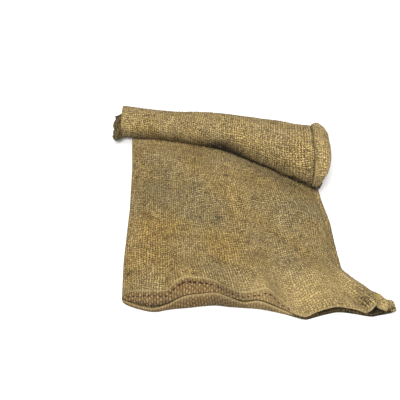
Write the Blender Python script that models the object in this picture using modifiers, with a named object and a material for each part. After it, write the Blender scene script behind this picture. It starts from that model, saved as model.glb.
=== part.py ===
"""A hessian sandbag, rolled up from its sewn end, with its open end lying loose in front.

The bag is one tube of cloth, so it is one solid: the roll, the loose double layer that comes
out from under it, and the mouth with its two hemmed edges. Metres, +Z up, the mouth at -Y.
The tables are in millimetres, measured from one point on the floor between roll and mouth.
"""

import math
from collections import namedtuple

import bmesh
import bpy
import numpy as np

MM = 0.001
LAYER = 2.5  # one layer of the hessian with its loose fibres
SHAVE = 1.0  # how far the forms reach under the floor before they are cut flat on it
FLOOR_BOX = (1.0, 0.1)  # width and depth in metres of what is cut away under the floor
COLOUR = (0.45, 0.33, 0.15, 1.0)

# The axis of the roll, from the folded side to the seamed side. reach is the mean radius of the
# last turn that shows in front, step is how far the turn that covers it lies further out, and
# sunk is the share by which the roll has settled under its own weight.
Turn = namedtuple("Turn", "x y reach step sunk")
ROLL = (
    Turn(-120, 149, 22.5, 5.0, 0.08),
    Turn(-79, 146, 20.5, 5.0, 0.08),
    Turn(-35, 140, 20.6, 5.0, 0.09),
    Turn(0, 131, 22.8, 5.5, 0.10),
    Turn(38, 120.5, 25.0, 6.0, 0.12),
    Turn(68, 107, 27.0, 7.0, 0.14),
    Turn(97, 89.5, 29.4, 8.0, 0.16),
    Turn(133, 66, 34.2, 9.0, 0.17),
    Turn(165, 49, 38.5, 10.0, 0.18),
)
ROLL_RINGS = 30
RING_POINTS = 30
RING_START = 0.02  # how far round from straight down a section starts, as a share of a turn
AXIS_STEP = 0.05  # the direction of the axis is taken over this share of a row, both ways

# Shallow waves round the roll: their size, how many go round, and how they shift along it.
Wave = namedtuple("Wave", "size round_it along")
WAVES = (Wave(0.5, 3, 2.1), Wave(0.35, 5, -1.3))

# The two ends of the roll: how far along the axis past its last place, and the radius there as a
# share of the roll's own. The inner turns stand out at the folded side, and the spare cloth
# outside the side seam bulges and turns in at the other.
End = namedtuple("End", "past share")
FOLDED_END = (End(0.4, 0.80), End(8.0, 0.78), End(12.5, 0.70))
SEAMED_END = (
    End(-3.0, 0.99),
    End(0.0, 0.95),
    End(3.5, 1.05),
    End(11.0, 1.11),
    End(19.0, 1.06),
    End(26.5, 0.91),
)

# The spiral slot between the turns at each end of the roll.
Spiral = namedtuple("Spiral", "first last pitch slot depth")
FOLDED_SPIRAL = Spiral(4.5, 12.5, 4.6, 1.8, 7.0)
SEAMED_SPIRAL = Spiral(6.0, 27.0, 9.0, 4.2, 14.0)
SPIRAL_STEPS = 14
SPIRAL_OUTSIDE = 8.0  # the slot's cutter starts this far outside the end

# The mouth, from the folded side to the far corner. x and y are where the lower layer meets the
# floor, lip is the height of its edge, hem the height of the upper layer's edge, crest the height
# of the fold that the upper layer makes before it hangs down, and back how far behind that is.
Mouth = namedtuple("Mouth", "x y lip hem crest back")
MOUTH = (
    Mouth(-102, -193, 6.0, 8.0, 12.0, 6),
    Mouth(-94, -197, 5.5, 9.0, 15.0, 12),
    Mouth(-78, -203, 3.2, 10.0, 21.5, 14),
    Mouth(-60, -207, 3.2, 11.0, 26.5, 14),
    Mouth(-42, -204, 8.0, 13.5, 25.0, 13),
    Mouth(-31, -203, 16.0, 20.5, 32.0, 19),
    Mouth(-17, -202, 23.0, 28.0, 36.5, 24),
    Mouth(5, -199, 24.5, 28.5, 33.0, 22),
    Mouth(21, -198, 26.0, 29.0, 30.5, 18),
    Mouth(38, -200, 18.0, 22.0, 25.0, 13),
    Mouth(57, -201, 8.0, 14.5, 19.0, 11),
    Mouth(75, -203, 15.0, 19.0, 24.5, 12),
    Mouth(91, -206, 10.0, 15.0, 28.0, 15),
    Mouth(108, -210, 4.5, 8.5, 16.0, 9),
    Mouth(123, -215, 3.5, 5.5, 10.0, 4),
    Mouth(137, -219, 3.5, 5.2, 8.5, 3),
    Mouth(150, -215, 3.3, 8.8, 13.0, 3),
    Mouth(166, -210, 3.2, 10.8, 16.5, 3),
    Mouth(182, -207, 3.2, 10.5, 15.5, 3),
    Mouth(203, -210, 3.3, 8.8, 13.0, 3),
    Mouth(217, -213, 3.5, 6.0, 9.5, 3),
    Mouth(229, -213, 4.0, 11.0, 19.0, 7),
    Mouth(242, -211, 5.0, 12.0, 21.0, 9),
    Mouth(257, -205, 4.0, 6.5, 11.0, 6),
)
MOUTH_STATIONS = 58
HEM_BACK = 5.0  # the upper edge hangs this far behind the lower one
HEM_BACK_SHARE = 0.6  # but no more than this share of the way back to the crest
CREST_REACH = 43.8  # how far behind its crest the upper layer comes down
LIP_BACK = 1.0  # the lower edge meets the floor this far behind its front
LIP_OUT = 0.6  # and bulges this far forward halfway up
HEM_OUT = 0.8  # the hem's lowest part stands this far forward

# The rounded front of the hem, from its edge to the crest, as shares of the way back and up.
Hem = namedtuple("Hem", "way rise")
HEM = (Hem(0.0, 0.0), Hem(0.25, 0.45), Hem(0.6, 0.88), Hem(1.0, 1.0))

# The right side of the loose end swings out to the corner of the mouth. way is the share of the
# way from the mouth to the roll, and out is how far the side lies outside a straight line.
Side = namedtuple("Side", "way out")
RIGHT_SIDE = (
    Side(0.0, 0.0),
    Side(0.12, -20.0),
    Side(0.27, -42.0),
    Side(0.42, -34.0),
    Side(0.62, -20.0),
    Side(0.80, -11.0),
    Side(1.0, 0.0),
)
LEFT_SIDE = (
    Side(0.0, 0.0),
    Side(0.2, -1.0),
    Side(0.5, 3.5),
    Side(0.75, 3.5),
    Side(1.0, 0.0),
)
ROLL_LEFT_X = -108.0  # where the loose end's sides go under the roll
ROLL_RIGHT_X = 176.0
SIDE_SHARE = 3.0  # how quickly the side's swing dies away across the cloth
SIDE_HEIGHT = 9.0  # of the upper layer at its sides, and further in at the middle
SIDE_RAMP = 0.07  # over this share of the width it climbs from the one to the other
MIDDLE_HEIGHT = 15.5
UNDER_ROLL = 6.0  # how far the loose end runs past the axis of the roll

# Soft ridges and troughs of the upper layer, each along a line on the floor.
Fold = namedtuple("Fold", "x1 y1 x2 y2 width height")
FOLDS = (
    Fold(-82, 38, 36, -85, 24, -2.0),
    Fold(-90, -60, -60, -150, 26, 3.0),
    Fold(-20, 60, 70, -10, 26, 4.0),
    Fold(45, -60, 120, -95, 26, -1.5),
    Fold(70, -150, 185, -152, 20, 6.5),
    Fold(110, 0, 165, -70, 22, 4.5),
    Fold(185, -165, 232, -190, 13, 5.0),
    Fold(-20, -190, 10, -120, 17, 4.0),
)

# The pocket between the layers: how far in from each side, and how far towards the roll.
POCKET_SIDE = 0.013
POCKET_WAY = 0.87
POCKET_STATIONS = 52
POCKET_OUTSIDE = 15.0  # its slot reaches this far out in front of the mouth
POCKET_TIP = 2.0  # its far end comes to an edge this much further in
LIP_WALL = 3.0
FLAP_WALL = 2.8
LEAST_GAP = 1.5

# Shares of the way from the mouth back to the roll where the lower layer has its points, and
# shares of the way from the crest back to the roll for the upper layer.
FLOOR_BACK = (1.0, 0.72, 0.45, 0.2)
POCKET_FLOOR_BACK = (0.8, 0.5, 0.2)
BACKWARDS = (0.03, 0.07, 0.12, 0.18, 0.25, 0.33, 0.42, 0.52, 0.63, 0.75, 0.87, 1.0)
POCKET_BACKWARDS = (0.0, 0.04, 0.09, 0.15, 0.23, 0.32, 0.42, 0.53, 0.65, 0.77, 0.89, 1.0)


def smooth(rows, at, field):
    """A field of a table at a fractional row, on a smooth curve through its rows."""
    values = [getattr(row, field) for row in rows]
    first = min(int(at), len(values) - 2)
    part = at - first
    a = values[max(first - 1, 0)]
    b, c = values[first], values[first + 1]
    d = values[min(first + 2, len(values) - 1)]
    bend = 2 * a - 5 * b + 4 * c - d
    twist = 3 * (b - c) + d - a
    return b + 0.5 * part * (c - a + part * (bend + part * twist))


def mouth_at(share):
    """The row of the mouth at a share of the way across it."""
    at = share * (len(MOUTH) - 1)
    return Mouth(*(smooth(MOUTH, at, field) for field in Mouth._fields))


def across(mouth):
    """How far across the loose end a place on the mouth lies, from 0 to 1."""
    return (mouth.x - MOUTH[0].x) / (MOUTH[-1].x - MOUTH[0].x)


def hem_back(mouth):
    """How far the upper edge hangs behind the lower one."""
    return min(HEM_BACK, HEM_BACK_SHARE * mouth.back)


def side_swing(side, way):
    return float(np.interp(way, [row.way for row in side], [row.out for row in side]))


def axis_y(x):
    return float(np.interp(x, [turn.x for turn in ROLL], [turn.y for turn in ROLL]))


def way_end(mouth):
    """x and y on the floor where the loose end stops, under the roll."""
    x_end = ROLL_LEFT_X + across(mouth) * (ROLL_RIGHT_X - ROLL_LEFT_X)
    return x_end, axis_y(x_end) + UNDER_ROLL


def floor_place(mouth, y):
    """x and y on the floor, at a distance y on the line from the mouth to under the roll."""
    share = across(mouth)
    x_end, y_end = way_end(mouth)
    way = max(0.0, (y - mouth.y) / (y_end - mouth.y))
    right = side_swing(RIGHT_SIDE, way) * share**SIDE_SHARE
    left = side_swing(LEFT_SIDE, way) * (1 - share) ** SIDE_SHARE
    return mouth.x + way * (x_end - mouth.x) + right + left, y


def between(first, last, share):
    return first + share * (last - first)


def relief(x, y):
    """How far the ridges and troughs lift the upper layer at a place."""
    lift = 0.0
    for fold in FOLDS:
        along = np.array([fold.x2 - fold.x1, fold.y2 - fold.y1])
        place = np.array([x - fold.x1, y - fold.y1])
        part = float(np.clip(place @ along / (along @ along), 0.0, 1.0))
        away = float(np.linalg.norm(place - part * along)) / fold.width
        lift += fold.height * math.exp(-away * away)
    return lift


def top_height(mouth, x, y):
    """The height of the upper layer behind its crest."""
    share = across(mouth)
    edge = min(1.0, min(share, 1.0 - share) / SIDE_RAMP)
    edge = edge * edge * (3 - 2 * edge)
    rest = SIDE_HEIGHT + (MIDDLE_HEIGHT - SIDE_HEIGHT + relief(x, y)) * edge
    behind = max(0.0, y - mouth.y - mouth.back) / CREST_REACH
    return rest + (mouth.crest - rest) * math.exp(-behind * behind)


def outer_section(mouth):
    """Points (x, y, z) round the loose end at one place across it, from under the roll forwards
    along the floor, up over the mouth, and back along the upper layer."""
    front = mouth.y
    y_end = way_end(mouth)[1]
    behind = front + mouth.back
    hem_front = front + hem_back(mouth) - HEM_OUT
    line = [(between(front, y_end, share), -SHAVE) for share in FLOOR_BACK]
    line += [
        (front + LIP_BACK, -SHAVE),
        (front - LIP_OUT, mouth.lip / 2),
        (front, mouth.lip),
    ]
    for hem in HEM:
        up = between(mouth.hem, mouth.crest, hem.rise)
        line.append((between(hem_front, behind, hem.way), up))
    points = [(*floor_place(mouth, y), z) for y, z in line]
    for share in BACKWARDS:
        place = floor_place(mouth, between(behind, y_end, share))
        points.append((*place, top_height(mouth, *place)))
    return points


def pocket_section(mouth):
    """Points round the hollow between the layers, from its far end forwards, out through the
    slot at the mouth, and back under the upper layer."""
    front = mouth.y
    behind = front + mouth.back
    y_end = between(front, way_end(mouth)[1], POCKET_WAY)
    flap_y = front + hem_back(mouth) + FLAP_WALL
    crest_y = max(behind + LAYER, flap_y + LEAST_GAP)
    outside = front - POCKET_OUTSIDE
    inner_lip = front + LIP_WALL
    line = [(y_end + POCKET_TIP, LAYER)]
    line += [(between(inner_lip, y_end, share), LAYER) for share in POCKET_FLOOR_BACK]
    line += [
        (inner_lip + LIP_BACK, LAYER),
        (inner_lip, mouth.lip),
        (outside, mouth.lip),
        (outside, mouth.hem),
        (flap_y, mouth.hem),
    ]
    for share in POCKET_BACKWARDS:
        place = floor_place(mouth, between(crest_y, y_end, share))
        line.append((place[1], max(top_height(mouth, *place) - LAYER, LAYER + LEAST_GAP)))
    return [(*floor_place(mouth, y), z) for y, z in line]


def zipped_end(mesh, ring):
    """Closes a long thin section with triangles between its lower and its upper line, which
    both start at the back and meet at the front."""
    low, high = 0, len(ring) - 1
    while high - low > 1:
        if ring[low + 1].co.y > ring[high - 1].co.y:
            mesh.faces.new((ring[low], ring[low + 1], ring[high]))
            low += 1
        else:
            mesh.faces.new((ring[low], ring[high - 1], ring[high]))
            high -= 1


def loft(name, sections, zipped=False):
    """A closed mesh through like-numbered sections. Its two ends are flat, or zipped."""
    mesh = bmesh.new()
    rings = [[mesh.verts.new([MM * value for value in point]) for point in ring] for ring in sections]
    count = len(rings[0])
    for ring, following in zip(rings, rings[1:]):
        for i in range(count):
            j = (i + 1) % count
            mesh.faces.new((ring[i], ring[j], following[j], following[i]))
    for ring in (rings[0], rings[-1]):
        if zipped:
            zipped_end(mesh, ring)
        else:
            mesh.faces.new(ring)
    bmesh.ops.recalc_face_normals(mesh, faces=mesh.faces)
    data = bpy.data.meshes.new(name)
    mesh.to_mesh(data)
    mesh.free()
    return bpy.data.objects.new(name, data)


def axis_frame(at):
    """A turn, the direction of the axis, and the way to the back of its section. Sections stand
    square to the bag's own width, so where the axis slants they are wider than the roll."""
    ahead = min(at + AXIS_STEP, len(ROLL) - 1)
    before = max(at - AXIS_STEP, 0)
    run = np.array([smooth(ROLL, ahead, f) - smooth(ROLL, before, f) for f in "xy"])
    run /= np.linalg.norm(run)
    turn = Turn(*(smooth(ROLL, at, field) for field in Turn._fields))
    return turn, np.array([run[0], run[1], 0.0]), np.array([0.0, 1 / run[0], 0.0])


def roll_centre(turn):
    """The middle of a turn, which lies on the step of cloth under it."""
    return np.array([turn.x, turn.y, turn.reach * (1 - turn.sunk) + turn.step])


def ring(at, past=0.0, share=1.0):
    """One section of the roll, widest underneath, where the last turn covers the one before."""
    turn, along, back = axis_frame(at)
    centre = roll_centre(turn) + past * along
    high = 1 - turn.sunk
    wide = math.sqrt(2 - high * high)
    points = []
    for i in range(RING_POINTS):
        round_it = i / RING_POINTS
        angle = 2 * math.pi * (round_it + RING_START)
        wave = sum(w.size * math.sin(w.round_it * angle + w.along * at) for w in WAVES)
        cover = turn.step * (1 - round_it)
        out = (turn.reach * wide + cover) * share + wave
        up = (turn.reach * high + cover) * share + wave
        point = centre + out * math.sin(angle) * back
        point[2] -= up * math.cos(angle)
        point[2] = max(point[2], -SHAVE)
        points.append(tuple(point))
    return points


def roll():
    last = len(ROLL) - 1
    sections = [ring(0.0, -end.past, end.share) for end in reversed(FOLDED_END)]
    sections += [ring(last * i / (ROLL_RINGS - 1)) for i in range(ROLL_RINGS - 1)]
    sections += [ring(float(last), end.past, end.share) for end in SEAMED_END]
    return loft("roll", sections)


def spiral_cutter(name, at, past, spiral, outward):
    """A spiral slot to cut into one end of the roll, from outside the end inwards."""
    turn, along, back = axis_frame(at)
    centre = roll_centre(turn) + past * along
    turns = (spiral.last - spiral.first) / spiral.pitch
    mesh = bmesh.new()
    edge = []
    for i in range(int(turns * SPIRAL_STEPS) + 1):
        angle = 2 * math.pi * i / SPIRAL_STEPS
        radius = spiral.first + spiral.pitch * i / SPIRAL_STEPS
        reach = radius * (math.cos(angle) * back + math.sin(angle) * np.array([0, 0, 1.0]))
        start = centre + reach + outward * SPIRAL_OUTSIDE * along
        edge.append(mesh.verts.new(MM * start))
    lines = [mesh.edges.new(pair) for pair in zip(edge, edge[1:])]
    made = bmesh.ops.extrude_edge_only(mesh, edges=lines)["geom"]
    moved = [item for item in made if isinstance(item, bmesh.types.BMVert)]
    inwards = -outward * MM * (SPIRAL_OUTSIDE + spiral.depth) * along
    bmesh.ops.translate(mesh, verts=moved, vec=inwards)
    data = bpy.data.meshes.new(name)
    mesh.to_mesh(data)
    mesh.free()
    cutter = bpy.data.objects.new(name, data)
    wall = cutter.modifiers.new("slot", "SOLIDIFY")
    wall.thickness = spiral.slot * MM
    wall.offset = 0.0
    return cutter


def floor_cutter():
    """Everything below the floor."""
    width, depth = FLOOR_BOX
    bpy.ops.mesh.primitive_cube_add(size=1.0, location=(0.0, 0.0, -depth / 2))
    box = bpy.context.object
    box.name = "below_floor"
    box.scale = (width, width, depth)
    bpy.ops.object.transform_apply(location=True, scale=True)
    return box


def boolean(target, other, operation):
    cut = target.modifiers.new(other.name, "BOOLEAN")
    cut.operation = operation
    cut.solver = "EXACT"
    cut.object = other


def hessian():
    material = bpy.data.materials.new("hessian")
    material.use_nodes = True
    shader = material.node_tree.nodes["Principled BSDF"]
    shader.inputs["Base Color"].default_value = COLOUR
    shader.inputs["Roughness"].default_value = 0.95
    shader.inputs["Metallic"].default_value = 0.0
    return material


def collection(name):
    made = bpy.data.collections.new(name)
    bpy.context.scene.collection.children.link(made)
    return made


def stations(count, margin):
    return [mouth_at(margin + (1 - 2 * margin) * i / (count - 1)) for i in range(count)]


def main():
    for item in list(bpy.data.objects):
        bpy.data.objects.remove(item, do_unlink=True)
    parts = collection("hessian_sandbag")
    cutters = collection("cutters")
    cutters.hide_render = True

    sack = roll()
    sack.name = "sack"
    loose = loft("loose_end", [outer_section(row) for row in stations(MOUTH_STATIONS, 0.0)], True)
    pocket_rows = stations(POCKET_STATIONS, POCKET_SIDE)
    pocket = loft("pocket", [pocket_section(row) for row in pocket_rows], True)
    last = float(len(ROLL) - 1)
    folded = spiral_cutter("folded_spiral", 0.0, -FOLDED_END[-1].past, FOLDED_SPIRAL, -1.0)
    seamed = spiral_cutter("seamed_spiral", last, SEAMED_END[-1].past, SEAMED_SPIRAL, 1.0)
    floor = floor_cutter()
    boolean(sack, loose, "UNION")
    for cutter in (floor, pocket, folded, seamed):
        boolean(sack, cutter, "DIFFERENCE")

    parts.objects.link(sack)
    for helper in (loose, pocket, folded, seamed, floor):
        for owner in list(helper.users_collection):
            owner.objects.unlink(helper)
        cutters.objects.link(helper)
        helper.hide_render = True
        helper.display_type = "WIRE"

    # The box round the solid stands with the middle of its underside on the origin.
    bpy.context.view_layer.update()
    solid = sack.evaluated_get(bpy.context.evaluated_depsgraph_get())
    corners = np.array(solid.bound_box)
    middle = (corners.min(axis=0) + corners.max(axis=0)) / 2
    for item in (sack, loose, pocket, folded, seamed, floor):
        item.location = (-middle[0], -middle[1], 0.0)

    sack.data.materials.append(hessian())
    sack.data.shade_smooth()


main()
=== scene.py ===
"""The looks of the hessian sandbag: one tube of cloth from its hemmed mouth to the middle of its
roll, its stitching and its loose fibres, on a pale floor.

Sizes are in millimetres, from one point on the floor between roll and mouth, as in the solid's
source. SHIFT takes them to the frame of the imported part.
"""
import math
from collections import namedtuple

import bmesh
import bpy
import numpy as np
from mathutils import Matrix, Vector, noise


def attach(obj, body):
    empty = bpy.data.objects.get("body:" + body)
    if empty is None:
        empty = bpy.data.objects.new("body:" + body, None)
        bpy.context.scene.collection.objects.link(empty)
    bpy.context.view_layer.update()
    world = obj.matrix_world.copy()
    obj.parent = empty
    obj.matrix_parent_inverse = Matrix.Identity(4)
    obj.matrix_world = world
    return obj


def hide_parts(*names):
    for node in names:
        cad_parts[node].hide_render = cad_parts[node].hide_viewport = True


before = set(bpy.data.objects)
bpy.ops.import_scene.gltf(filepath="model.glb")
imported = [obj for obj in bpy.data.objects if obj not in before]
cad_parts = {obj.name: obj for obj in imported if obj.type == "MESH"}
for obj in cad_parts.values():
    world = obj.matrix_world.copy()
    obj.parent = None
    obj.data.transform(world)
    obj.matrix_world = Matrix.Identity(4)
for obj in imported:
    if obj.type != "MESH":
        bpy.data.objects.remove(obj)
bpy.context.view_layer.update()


def table(fields, *rows):
    """Rows of numbers with named fields. Those that a row leaves out are 0."""
    kind = namedtuple("kind", fields, defaults=[0] * len(fields.split()))
    return tuple(kind(*row) for row in rows)


MM = 0.001
SHIFT = np.array([-62.265, 21.327, 0])

# The camera looks down at 45 degrees on the point that sizes are measured from.
CAMERA_ANGLE = math.radians(45)
CAMERA_DISTANCE = 1260
SENSOR = 36
CAMERA_LENS = 854 / 400 * SENSOR  # the frame is 400 pixels wide

CLOTH = 1.1  # the cloth's own thickness
HALF = 0.6  # from the floor to the middle of the lowest layer
APART = 1.4  # between the middles of two layers that touch

# The roll, as in the solid: the last turn that shows in front, and the turn that covers it.
ROLL = table(
    "x y reach step sunk",
    (-120, 149, 22.5, 5, 0.08), (-79, 146, 20.5, 5, 0.08), (-35, 140, 20.6, 5, 0.09),
    (0, 131, 22.8, 5.5, 0.1), (38, 120.5, 25, 6, 0.12), (68, 107, 27, 7, 0.14),
    (97, 89.5, 29.4, 8, 0.16), (133, 66, 34.2, 9, 0.17), (165, 49, 38.5, 10, 0.18),
)
TURNS = (4.4, 3.3)  # wound at the folded side and at the seamed side
CORE = (3.2, 7.5)  # radius of the innermost turn there
SINKING = 0.3  # by this share of their spacing the inner turns lie lower

# How far the cloth wanders along the axis as it is wound: at half turns from underneath.
WANDER = table(
    "half_turns left",
    (0, 0), (0.5, 9), (1, 12), (1.5, 14), (2, 16), (2.6, 22), (3.4, 25), (5, 23), (6, 26), (9, 24),
)
RAGGED = 1.6
DROOP = (15, 3)  # how far forward and down the inner turns hang where they stand out
DROOP_ACROSS = 0.07
RIPPLES = table("height turns along", (0.5, 3, 2.1), (0.35, 5, -1.3))  # faint waves round the roll

# The mouth, as in the solid: the lower edge on the floor, and the heights of its lip, of the
# upper hem's edge and of the crest, which lies this far back.
MOUTH = table(
    "x y lip hem crest back",
    (-102, -193, 7.3, 8, 12, 6), (-94, -197, 6.9, 9, 15, 12), (-78, -203, 5.6, 10, 21.5, 14),
    (-60, -207, 6.2, 11, 26.5, 14), (-42, -204, 10.5, 13.5, 25, 13),
    (-31, -203, 18.8, 20.5, 32, 19), (-17, -202, 26.4, 28, 36.5, 24), (5, -199, 27, 28.5, 33, 22),
    (21, -198, 27.2, 28.5, 30.5, 18), (38, -200, 20.4, 22, 25, 13),
    (57, -201, 11.5, 14.5, 19, 11), (75, -203, 17, 19, 24.5, 12), (91, -206, 12.8, 15, 28, 15),
    (108, -210, 6.6, 8.5, 16, 9), (123, -215, 3.5, 5.5, 10, 4), (137, -219, 3.5, 5.2, 8.5, 3),
    (150, -215, 3.3, 8.8, 13, 3), (166, -210, 3.2, 10.8, 16.5, 3),
    (182, -207, 3.2, 10.5, 15.5, 3), (203, -210, 3.3, 8.8, 13, 3), (216, -213, 3.2, 6, 9.5, 3),
    (224, -214, 3.2, 9.5, 17.5, 7), (229.5, -213, 3.2, 20, 25, 11), (233.5, -212, 4, 12, 24, 12),
    (240, -211, 6, 9.5, 23, 10), (248, -209, 5.5, 9.5, 20.5, 6), (257, -207, 4, 9, 13, 3),
)
HEM_BACK = 3.6  # from the lower edge back to the upper one
HEM_BACK_SHARE = 0.6  # but no more than this share of the way to the crest
HEM_ROUND = 1.7  # how early the hem turns over towards its crest
LIP_BULGE = 0.6
LIP_ROUND = 1.3
LIP_FOOT = (5, 12)  # how far back it turns at the floor, and how suddenly
TURNED_IN = 1.6  # the turned-in cloth of a hem lies this far inside it
EDGE = (0.8, 0.9, 0.7)  # the rounded edge of a hem: how far back, inside and past it
CREST_REACH = 43.8  # how far behind its crest the upper layer comes down
DIP_HEIGHT = 6  # the upper layer comes down to this in front of the roll
DIP_SHARE = 0.8
DIP_BACK = 0.95  # in front of the axis, as a share of the roll's reach
DIP_WIDTH = 20
UNDER_GAP = 1.6  # between the upper layer and the roll over it
UNDER_SOFT = 1.5  # how softly the layer gives way to the roll
UNDER_FROM = 0.955  # share of the way from which the two layers lie together
GRAIN_SIZE = (42, 17)  # of the larger and the smaller unevenness of the upper layer
GRAIN_HEIGHT = (0.9, 0.4)  # of the larger, and the smaller one's share of that

# The two sides of the loose end, as in the solid.
RIGHT_SIDE = table(
    "way out",
    (0, 0), (0.12, -20), (0.27, -42), (0.42, -34), (0.62, -21), (0.78, -15.5), (0.88, -11), (1, 0),
)
LEFT_SIDE = table("way out", (0, 0), (0.2, -1), (0.5, 3.5), (0.75, 3.5), (1, 0))
ROLL_ENDS = (-108, 176)  # x of the loose end's sides under the roll
SIDE_SHARE = 3  # how soon the middle takes no part in that
SIDE_HEIGHT = 9
SIDE_RAMP = 0.07
MIDDLE_HEIGHT = 15

# Soft ridges and troughs of the upper layer: those of the solid, then finer creases.
FOLDS = table(
    "x1 y1 x2 y2 width height",
    (-82, 38, 36, -85, 24, -2), (-90, -60, -60, -150, 26, 3), (-20, 60, 70, -10, 26, 4),
    (45, -60, 120, -95, 26, -1.5), (70, -150, 185, -152, 20, 6.5), (110, 0, 165, -70, 22, 4.5),
    (185, -165, 232, -190, 13, 5), (-20, -190, 10, -120, 17, 4), (-95, 60, -60, 15, 7, -1.2),
    (-70, 5, 10, -30, 9, 1.3), (20, -20, 60, -60, 10, -1.6), (60, -115, 165, -128, 8, -1.8),
    (150, -60, 172, -120, 6, 1.6), (120, -160, 165, -205, 8, 1.8),
    (175, -150, 240, -185, 5, -1.8), (-60, -120, -20, -165, 9, 1.5),
    (-98, -90, -92, -180, 8, 1.2),
)

# Curled edges of the pulled-out corner, which stand off the upper layer and its hem.
CURLS = table(
    "x1 y1 x2 y2 width height",
    (226, -195, 233, -199, 3.2, 3), (233, -199, 238.5, -206, 3.2, 3.6),
    (238.5, -206, 233.5, -213, 2.8, 2.6), (246, -209, 253, -205, 3, 2),
)

# Dents and bulges of the roll: where along it and, in half turns from underneath, round it, how
# long, how wide in half turns, and how far out.
DENTS = table(
    "x half_turns long wide out",
    (0, 1.76, 150, 0.17, 3.6), (22, 1.62, 26, 0.16, -2.2), (-20, 1.2, 40, 0.25, 0.8),
    (70, 1.15, 22, 0.3, 1.2), (140, 1.3, 9, 0.5, -0.9), (110, 1.7, 12, 0.2, -1.2),
    (-90, 1.45, 18, 0.2, -0.8),
)

SAG = 3  # the loose end lies this much lower where the first of them sags onto it

# The spare cloth outside the side seam: how far past it in the roll and in the loose end, the
# radius as a share of the roll's, and its height in the loose end.
SPARE = table(
    "rolled flat share height",
    (3.5, 1, 1.06, 3.8), (8.5, 2.4, 1.14, 4), (13.5, 4, 1.17, 3.6), (20, 5.4, 1.1, 3),
    (25.5, 6.4, 0.95, 2.2),
)
SPARE_WAY = np.array([1, 0.25, 0])  # which way it points in the loose end
SPARE_HANG = 0.9  # share of its own height that it keeps there
SPARE_SLOPE = 6  # it slopes down where the seam is higher than this
SPARE_LIFT = (0.25, 3)  # its lower layer follows by this share, above this height
SPARE_OPEN = 1.1  # angle of the roll over which it opens out
SPARE_TUCK = (1.1, 0.65)  # in the roll it draws in from so many half turns, over so many
SPARE_DRAWN = (0.73, 0.1)  # by so much of its width, and of the roll's radius
SPARE_TIP = (1.74, 0.045, 0.42)  # a torn tip: at which half turn, how wide, how far out
SPARE_INNER = 0.35  # by so much narrower it is from the second turn on
SPARE_PUFF = 2.2  # how far its two layers stand apart
RUFFLES = table("height turns along", (0.02, 7, 0.8), (0.012, 17, 1))
GROOVE = (3, 3.6, 1.5)  # how deep the roll is drawn in at its seam: inner, outer, beside it
SEAM_SHARE = 0.978  # where the seam lies across the loose end
SEAM_HEIGHT = 3
SEAM_PINCH = 0.02
SPARE_ROUND = 0.8
FOLD_BULGE = (2.6, 1.2)  # how far the folded side bulges, in the loose end and in the roll
FOLD_INSET = 0.015  # share of the way across over which the layers make room for that

# Rows along the cloth, from the mouth on: TURNED and FRONT are shares of the way from the edge
# of the hem to its crest.
TURNED = (0.85, 0.6, 0.35, 0.12)
FRONT = (0, 0.1, 0.2, 0.33, 0.46, 0.6, 0.74, 0.88)
PANEL_ROWS = 66
CLOSER_ROWS = 1.12
OUTER_STEP = math.radians(9)
INNER_STEP = math.radians(18)
OUTER_ANGLE = 2.3 * math.pi
EDGE_ROW = len(TURNED) + 1
CREST_ROW = EDGE_ROW + len(FRONT)
LOOSE_END = CREST_ROW + PANEL_ROWS

# Columns round the cloth: upper layer, spare cloth out and back, lower layer, folded side.
COLUMNS = 104
CLOSER = (0.8, 0.05, 2.2)  # past this share, and over this, so many times as many columns
SEAM_LOW = COLUMNS + 2 * len(SPARE) + 1
UPPER = slice(0, COLUMNS)
FOLD_ANGLES = (math.pi / 4, math.pi / 2, 3 * math.pi / 4)
LOWER = slice(SEAM_LOW, -len(FOLD_ANGLES))
EVENED = 20  # columns to either side over which the steps along the cloth are evened out
WIDTH_ROW = EDGE_ROW + 20  # the row whose gaps are taken as the cloth's width
WRAP = 0.003  # metres from the last column round to the first


def curve(rows, field, at):
    """A field of a table at fractional rows, on a smooth curve through its rows."""
    values = column(rows, field)
    at = np.clip(at, 0, len(values) - 1)
    first = np.minimum(at.astype(int), len(values) - 2)
    part = at - first
    a = values[np.maximum(first - 1, 0)]
    b, c = values[first], values[first + 1]
    d = values[np.minimum(first + 2, len(values) - 1)]
    bend = 2 * a - 5 * b + 4 * c - d
    twist = 3 * (b - c) + d - a
    return b + 0.5 * part * (c - a + part * (bend + part * twist))


def row_at(rows, at):
    """Every field of a table at fractional rows."""
    return type(rows[0])(*(curve(rows, field, at) for field in rows[0]._fields))


def column(rows, field):
    return np.array([getattr(row, field) for row in rows], float)


def roll_at(x):
    """Fractional rows of the roll at places along it."""
    return np.interp(x, column(ROLL, "x"), np.arange(len(ROLL)))


def between(ends, share):
    return ends[0] + share * (ends[1] - ends[0])


def ease(value):
    value = np.clip(value, 0, 1)
    return value * value * (3 - 2 * value)


def after(value, span):
    """From 0 to 1 over a span, given as its start and its length."""
    return ease((value - span[0]) / span[1])


def bell(value, middle, width, power=2):
    return np.exp(-(((value - middle) / width) ** power))


def run_of(line):
    """How far each point of a line is along it."""
    return np.concatenate([[0], np.cumsum(np.linalg.norm(np.diff(line, axis=0), axis=1))])


def on_line(at, run, values):
    """Values that are given at the points of a line, at distances along it."""
    return np.stack([np.interp(at, run, part) for part in values.T], -1)


def mouth_across(across):
    """The mouth's sizes at shares of the way across the loose end."""
    fine = np.linspace(0, len(MOUTH) - 1, 2000)
    x = between((MOUTH[0].x, MOUTH[-1].x), across)
    at = np.interp(x, curve(MOUTH, "x", fine), fine)
    return row_at(MOUTH, at)


def axis_y(x):
    return np.interp(x, column(ROLL, "x"), column(ROLL, "y"))


def under_roll(across):
    """x and y where the loose end passes under the axis of the roll."""
    x = between(ROLL_ENDS, across)
    return x, axis_y(x)


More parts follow.
